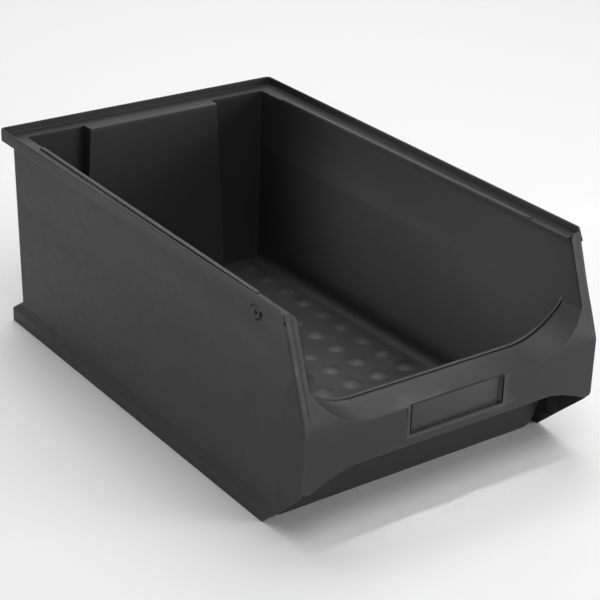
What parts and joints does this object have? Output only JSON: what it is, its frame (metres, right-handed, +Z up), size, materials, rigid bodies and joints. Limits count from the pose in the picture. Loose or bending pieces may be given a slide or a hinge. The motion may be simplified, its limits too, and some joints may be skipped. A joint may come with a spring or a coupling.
{
  "type": "stacking storage crate",
  "caption": "Open-front stacking crate with double-skinned side walls, a studded floor, a ledge all round for the crate above, and a label pocket.",
  "frame": {"origin": "on the ground under the centre of the crate's bounding box", "axes": "+Z up, -Y out of the open front, +X to the right of someone who looks along +Y into the open front"},
  "size_m": [0.31, 0.5, 0.2],
  "materials": {
    "black_polypropylene": "satin, with a fine moulded texture"
  },
  "bodies": {
    "root": {"floor_panel": "black_polypropylene", "front_apron": "black_polypropylene", "front_inner_wall": "black_polypropylene", "front_sill": "black_polypropylene", "label_pocket": "black_polypropylene", "left_boss": "black_polypropylene", "left_cheek": "black_polypropylene", "left_inner_wall": "black_polypropylene", "left_outer_wall": "black_polypropylene", "left_pillar": "black_polypropylene", "left_rear_wall": "black_polypropylene", "left_rim": "black_polypropylene", "left_rim_rib": "black_polypropylene", "left_runner": "black_polypropylene", "rear_foot": "black_polypropylene", "rear_panel": "black_polypropylene", "rear_rim": "black_polypropylene", "right_boss": "black_polypropylene", "right_cheek": "black_polypropylene", "right_inner_wall": "black_polypropylene", "right_outer_wall": "black_polypropylene", "right_pillar": "black_polypropylene", "right_rear_wall": "black_polypropylene", "right_rim": "black_polypropylene", "right_rim_rib": "black_polypropylene", "right_runner": "black_polypropylene", "sill_bead": "black_polypropylene"}
  },
  "joints": []
}
